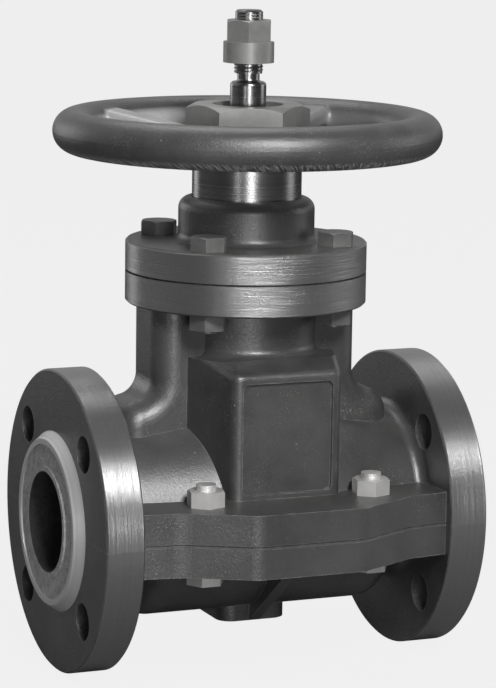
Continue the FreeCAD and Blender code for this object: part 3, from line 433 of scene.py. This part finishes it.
def cast_paint(name, level, depth, rough, rub, grain=1.3, rims=False, grip=False):
    """Satin paint over a sand casting, rubbed at its edges, with specks.

    rims adds the lathe marks of the flanges' rims, and grip a painted highlight on the spokes and
    the rough band under the wheel's rim.
    """
    material, tree, shader = new_material(name)
    skin = use(tree, SAND_CAST, Grain_Size=grain, Pinholes=0.7).outputs
    rubbed = use(tree, EDGE_RUB, Radius=0.9 * MM, Amount=rub).outputs["Mask"]
    dust = use(tree, DUST, Specks=0.8, Settled=0.10).outputs["Mask"]
    base = tree.mix(skin["Mottle"], grey(level - 13, WARM), grey(level + 10, WARM))
    base = tree.mix(tree.times(skin["Glint"], PAINT_GLINT), base, grey(level + 80, WARM))
    height = skin["Height"]
    spread = tree.ramp(skin["Mottle"], -1.5, 2.5)
    roughness = tree.plus(tree.times(spread, 0.16), rough - 0.08)
    if rims:
        masks = use(tree, TURNED_RIMS).outputs
        round_pipe = use(tree, LATHE_MARKS, Along_X=1.0, Feed=RIM_FEED).outputs
        round_stem = use(tree, LATHE_MARKS, Along_X=0.0, Feed=RIM_FEED).outputs
        either = tree.maths("MAXIMUM", masks["Pipe Rim"], masks["Top Rim"])
        pipe_share = tree.times(masks["Pipe Rim"], PIPE_RIM_LINES)
        top_share = tree.times(masks["Top Rim"], TOP_RIM_LINES)
        lines = tree.plus(tree.times(round_pipe["Height"], pipe_share),
                          tree.times(round_stem["Height"], top_share))
        lines = tree.times(lines, RIM_LINE_DEPTH / depth)
        kept = tree.minus(1.0, either)
        height = tree.plus(tree.times(height, tree.plus(kept, RIM_SKIN_LEFT)), lines)
        rubbed = tree.times(rubbed, tree.plus(kept, RIM_RUB_LEFT))
        rim = tree.mix(round_pipe["Streak"], grey(RIM_LEVEL - 10), grey(RIM_LEVEL + 12))
        base = tree.mix(either, base, rim)
        tree.link(tree.times(either, RIM_METALLIC), shader.inputs["Metallic"])
        roughness = tree.minus(roughness, tree.times(either, RIM_SMOOTHER))
    if grip:
        # Painted highlight: the spokes are made pale, standing in for light on their tops
        bare = tree.times(use(tree, SPOKE_HIGHLIGHT).outputs["Mask"], SPOKE_HIGHLIGHT_SHARE)
        dark, pale = SPOKE_HIGHLIGHT_LEVELS
        base = tree.mix(bare, base, tree.mix(skin["Mottle"], grey(dark), grey(pale)))
        ticks = use(tree, GRIP_TICKS).outputs["Ticks"]
        height = tree.plus(height, tree.times(ticks, TICK_HEIGHT))
        base = tree.mix(tree.times(ticks, TICK_SHARE), base, grey(level + 120, WARM))
    # Rubbed edges are made lighter: partly wear, partly a painted highlight along the edges
    worn = tree.mix(rubbed, base, grey(min(level + 80, WORN_LIMIT), WARM))
    dusty = tree.mix(dust, worn, grey(DUST_LEVEL, DUST_WARMTH))
    tree.link(dusty, shader.inputs["Base Color"])
    tree.link(roughness, shader.inputs["Roughness"])
    bump(tree, shader, height, depth, 0.9)
    shader.inputs["Specular IOR Level"].default_value = PAINT_SPECULAR
    shader.inputs["IOR"].default_value = PAINT_IOR
    return material


def turned_metal(name, level, rough, along_x=0.0, feed=0.3, depth=0.02 * MM, metallic=1.0):
    """Turned steel or light metal with lathe marks and a few rubbed edges."""
    material, tree, shader = new_material(name)
    marks = use(tree, LATHE_MARKS, Along_X=along_x, Feed=feed).outputs
    rubbed = use(tree, EDGE_RUB, Radius=0.5 * MM, Amount=0.7).outputs["Mask"]
    base = tree.mix(marks["Streak"], grey(level - 22), grey(level + 14))
    worn = tree.mix(rubbed, base, grey(min(level + 40, 235)))
    tree.link(worn, shader.inputs["Base Color"])
    shader.inputs["Metallic"].default_value = metallic
    roughness = tree.plus(tree.times(marks["Streak"], 0.18), rough - 0.09)
    tree.link(roughness, shader.inputs["Roughness"])
    bump(tree, shader, marks["Height"], depth, 0.8)
    return material


def plated_steel(name, level, rough, metallic=1.0):
    """Forged and plated fasteners with handling marks."""
    material, tree, shader = new_material(name)
    skin = use(tree, SAND_CAST, Grain_Size=0.6, Lump_Size=4.0, Pinholes=0.2).outputs
    rubbed = use(tree, EDGE_RUB, Radius=0.5 * MM, Amount=0.8).outputs["Mask"]
    base = tree.mix(skin["Mottle"], grey(level - 25, WARM), grey(level + 12, WARM))
    worn = tree.mix(rubbed, base, grey(min(level + 60, 240)))
    tree.link(worn, shader.inputs["Base Color"])
    shader.inputs["Metallic"].default_value = metallic
    roughness = tree.plus(tree.times(skin["Mottle"], 0.2), rough - 0.1)
    tree.link(roughness, shader.inputs["Roughness"])
    bump(tree, shader, skin["Height"], 0.03 * MM, 0.7)
    return material


FIBRE_SCALE, PLY_SCALE = 900.0, 240.0
RUBBER_DEPTH = 0.35 * MM
RUBBER_ROUGHNESS = 0.75
MOULDED_LEVELS = (34, 62)


def fabric_rubber(name, level):
    """Rubber with its fabric showing at the cut face, and darker where it lines the bore."""
    material, tree, shader = new_material(name)
    place = tree.place()
    fibres = tree.noise(place, FIBRE_SCALE, detail=4.0, roughness=0.7)
    plies = tree.noise(place, PLY_SCALE, detail=3.0)
    rough_face = tree.plus(fibres, tree.times(plies, 0.6))
    tone = tree.ramp(rough_face, 0.55, 1.05)
    cut_face = tree.mix(tone, grey(level - 38), grey(level + 40))
    dark, pale = MOULDED_LEVELS
    moulded = tree.mix(tone, grey(dark), grey(pale))
    radius = away_from(tree, place, "X")[0]
    beyond_bore = tree.ramp(
        radius, SLEEVE_BORE_RADIUS + 0.1 * MM, SLEEVE_BORE_RADIUS + 0.6 * MM)
    tree.link(tree.mix(beyond_bore, moulded, cut_face), shader.inputs["Base Color"])
    shader.inputs["Roughness"].default_value = RUBBER_ROUGHNESS
    bump(tree, shader, rough_face, RUBBER_DEPTH, 0.9)
    return material


# The body's strong edge rub is partly wear and partly a painted highlight on its edges
BODY_PAINT = cast_paint("body paint", 68, depth=0.17 * MM, rough=0.37, rub=0.9, rims=True)
WHEEL_PAINT = cast_paint(
    "wheel paint", 70, depth=0.24 * MM, rough=0.34, rub=0.25, grain=0.9, grip=True)
POLISHED = turned_metal("polished sleeve", 160, rough=0.25, depth=0.06 * MM)
RING_METAL = turned_metal(
    "face ring metal", 232, rough=0.38, along_x=1.0, feed=0.25, depth=0.06 * MM, metallic=0.7)
BOLT_STEEL = plated_steel("plated bolts", 226, rough=0.5, metallic=0.65)
DARK_BOLT = plated_steel("painted bolts", 122, rough=0.4, metallic=0.3)
MID_BOLT = plated_steel("dull plated nuts", 124, rough=0.45, metallic=0.4)
NUT_STEEL = plated_steel("blackened nut", 150, rough=0.38, metallic=0.35)
WHEEL_NUT = plated_steel("wheel nut steel", 168, rough=0.5, metallic=0.7)
BARE_CAST = plated_steel("bare casting", 88, rough=0.55)
BRONZE = turned_metal("turned bronze", 150, rough=0.3)
RUBBER = fabric_rubber("sleeve rubber", 186)
GASKET = fabric_rubber("gasket sheet", 46)

FINISHES = {
    "body_paint": BODY_PAINT,
    "wheel_paint": WHEEL_PAINT,
    "gasket": GASKET,
    "bronze": BRONZE,
    "polished_steel": POLISHED,
    "machined_steel": POLISHED,
    "nut_steel": NUT_STEEL,
    "bolt_steel": BOLT_STEEL,
    "cast_parts": BARE_CAST,
    "rubber": RUBBER,
    "ring_metal": RING_METAL,
}

# Nodes whose look differs from the rest of their slot
OWN_FINISHES = {
    "bonnet_bolts": DARK_BOLT,
    "bonnet_nuts": MID_BOLT,
    "wheel_nut": WHEEL_NUT,
}


def dress_cad_nodes():
    """Gives every node of the frame the finish of its material slot, or its own."""
    slots = {entry["node"]: entry["material_slot"] for entry in frame["record"]["subparts"]}
    for name, piece in frame["nodes"].items():
        piece.data.materials.clear()
        piece.data.materials.append(OWN_FINISHES.get(name, FINISHES[slots[name]]))


# Threads, which the source leaves plain. Sizes in millimetres, heights above the pipe axis:
# root radius, crest radius, low end, high end, pitch.

STEM_THREADS = (
    ("stem_thread_low", (6.6, 7.5, 225.2, 230.3, 1.7), POLISHED, "polished_steel"),
    ("stem_thread_top", (6.6, 7.05, 252.1, 256.0, 1.5), NUT_STEEL, "nut_steel"),
)
BODY_BOLT_THREAD = (4.7, 5.25, 24.6, 27.3, 1.3)
BODY_BOLT_PLACES = ((45, 60.7), (-45, 60.7), (-45, -60.7), (45, -60.7))

STEPS_PER_TURN = 40
FLANK_SHARE = 0.42
CREST_SHARE = 0.2


def thread_mesh(name, sizes, at=(0.0, 0.0)):
    """A screw thread on an upright bar: one ridge that winds up it, its ends faded into the bar."""
    root, crest, low, high, pitch = (size * MM for size in sizes)
    low, high = PIPE_AXIS + low, PIPE_AXIS + high
    across, back = at[0] * MM, at[1] * MM
    count = int((high - low) / pitch * STEPS_PER_TURN)
    half_turn = STEPS_PER_TURN / 2
    flank = pitch * FLANK_SHARE
    points, faces = [], []
    for index in range(count + 1):
        turn = 2 * math.pi * index / STEPS_PER_TURN
        height = low + pitch * index / STEPS_PER_TURN
        fade = min(1.0, index / half_turn, (count - index) / half_turn)
        top = root + (crest - root) * fade
        profile = (
            (root, -flank), (top, -flank * CREST_SHARE), (top, flank * CREST_SHARE), (root, flank))
        for radius, rise in profile:
            level = min(max(height + rise, low), high)
            points.append((across + radius * math.cos(turn), back + radius * math.sin(turn), level))
    for index in range(count):
        first, after = index * 4, index * 4 + 4
        for edge in range(3):
            faces.append((first + edge, after + edge, after + edge + 1, first + edge + 1))
    mesh = bpy.data.meshes.new(name)
    mesh.from_pydata(points, [], faces)
    for face in mesh.polygons:
        face.use_smooth = True
    return mesh


def add_piece(mesh, finish, body):
    piece = bpy.data.objects.new(mesh.name, mesh)
    scene.collection.objects.link(piece)
    mesh.materials.append(finish)
    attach(piece, body)


def make_threads():
    """Threads on the stem's end and on the body bolts above their nuts."""
    for name, sizes, finish, slot in STEM_THREADS:
        add_piece(thread_mesh(name, sizes), finish, "stem")
    for number, place in enumerate(BODY_BOLT_PLACES):
        mesh = thread_mesh(f"body_bolt_thread_{number}", BODY_BOLT_THREAD, place)
        add_piece(mesh, BOLT_STEEL, "casing")


# Floor, backdrop and lights

FLOOR_LEVEL = 118
FLOOR_HALF = 14.0
FLOOR_GLOW = grey(255)
FLOOR_GLOW_SHARE = 0.85


def seen_by_camera(tree):
    """The light path's outputs, and a mask of what the camera sees, also through clear things."""
    rays = tree.node("ShaderNodeLightPath").outputs
    return rays, tree.maths("MAXIMUM", rays["Is Camera Ray"], rays["Is Transmission Ray"])


def make_floor():
    """A pale floor that stays pale for the camera and keeps the valve's shadow."""
    material, tree, shader = new_material("pale floor")
    shader.inputs["Base Color"].default_value = grey(FLOOR_LEVEL)
    shader.inputs["Roughness"].default_value = 0.9
    seen = seen_by_camera(tree)[1]
    glow = tree.fill(tree.node("ShaderNodeEmission"), Color=FLOOR_GLOW, Strength=1.0)
    mix = tree.node("ShaderNodeMixShader")
    tree.link(tree.times(seen, FLOOR_GLOW_SHARE), mix.inputs[0])
    tree.link(shader.outputs[0], mix.inputs[1])
    tree.link(glow.outputs[0], mix.inputs[2])
    out = material.node_tree.nodes["Material Output"]
    tree.link(mix.outputs[0], out.inputs["Surface"])
    mesh = bpy.data.meshes.new("floor")
    corners = ((-1, -1), (1, -1), (1, 1), (-1, 1))
    points = [(x * FLOOR_HALF, y * FLOOR_HALF, 0) for x, y in corners]
    mesh.from_pydata(points, [], [(0, 1, 2, 3)])
    floor = bpy.data.objects.new("floor", mesh)
    scene.collection.objects.link(floor)
    mesh.materials.append(material)


BACKDROP = grey(241)
FILL_STRENGTH = 0.055
MIRRORED_SHARE = 0.42
BEHIND_FROM, BEHIND_TO = -0.25, 0.55


def make_world():
    """A pale backdrop for the camera and for metal that mirrors the back; the rest is dim."""
    world = bpy.data.worlds.new("studio")
    scene.world = world
    world.use_nodes = True
    tree = Tree(world.node_tree)
    world.node_tree.nodes.clear()
    out = tree.node("ShaderNodeOutputWorld")
    rays, seen = seen_by_camera(tree)
    towards = tree.split(tree.node("ShaderNodeTexCoord").outputs["Generated"])
    behind = tree.ramp(towards[1], BEHIND_FROM, BEHIND_TO)
    mirrored = tree.times(rays["Is Glossy Ray"], behind, MIRRORED_SHARE)
    background = "ShaderNodeBackground"
    backdrop = tree.fill(tree.node(background), Color=BACKDROP, Strength=1.0)
    fill_light = tree.fill(tree.node(background), Color=grey(255), Strength=FILL_STRENGTH)
    mix = tree.node("ShaderNodeMixShader")
    tree.link(tree.maths("MAXIMUM", seen, mirrored), mix.inputs[0])
    tree.link(fill_light.outputs[0], mix.inputs[1])
    tree.link(backdrop.outputs[0], mix.inputs[2])
    tree.link(mix.outputs[0], out.inputs["Surface"])


LAMP_AIM = Vector((0, 0, 0.16))
LAMP_DISTANCE = 1.8

# Name, bearing and rise in degrees as seen from the valve, size in metres, radiance
LAMPS = (
    ("key", 265.0, 35.0, (0.40, 0.52), 37.0),
    ("key foot", 257.0, 2.5, (0.30, 0.36), 15.0),
    ("second", 229.0, 4.0, (0.14, 0.34), 6.0),
    ("left wall", 114.0, 7.0, (0.6, 0.9), 1.4),
    ("right wall", -8.0, 10.0, (0.6, 0.9), 1.5),
    ("top", 80.0, 62.0, (1.0, 0.9), 2.0),
)


def area_light(name, bearing, rise, size, radiance):
    """A soft rectangular lamp that points at the valve."""
    data = bpy.data.lights.new(name, "AREA")
    data.shape = "RECTANGLE"
    data.size, data.size_y = size
    data.energy = radiance * math.pi * size[0] * size[1]
    lamp = bpy.data.objects.new(name, data)
    scene.collection.objects.link(lamp)
    bearing, rise = math.radians(bearing), math.radians(rise)
    level = math.cos(rise)
    towards = Vector((math.cos(bearing) * level, math.sin(bearing) * level, math.sin(rise)))
    lamp.location = LAMP_AIM + towards * LAMP_DISTANCE
    lamp.rotation_euler = (-towards).to_track_quat("-Z", "Y").to_euler()


make_camera()
make_floor()
make_world()
for lamp in LAMPS:
    area_light(*lamp)
dress_cad_nodes()
make_threads()

scene.view_settings.view_transform = "Standard"
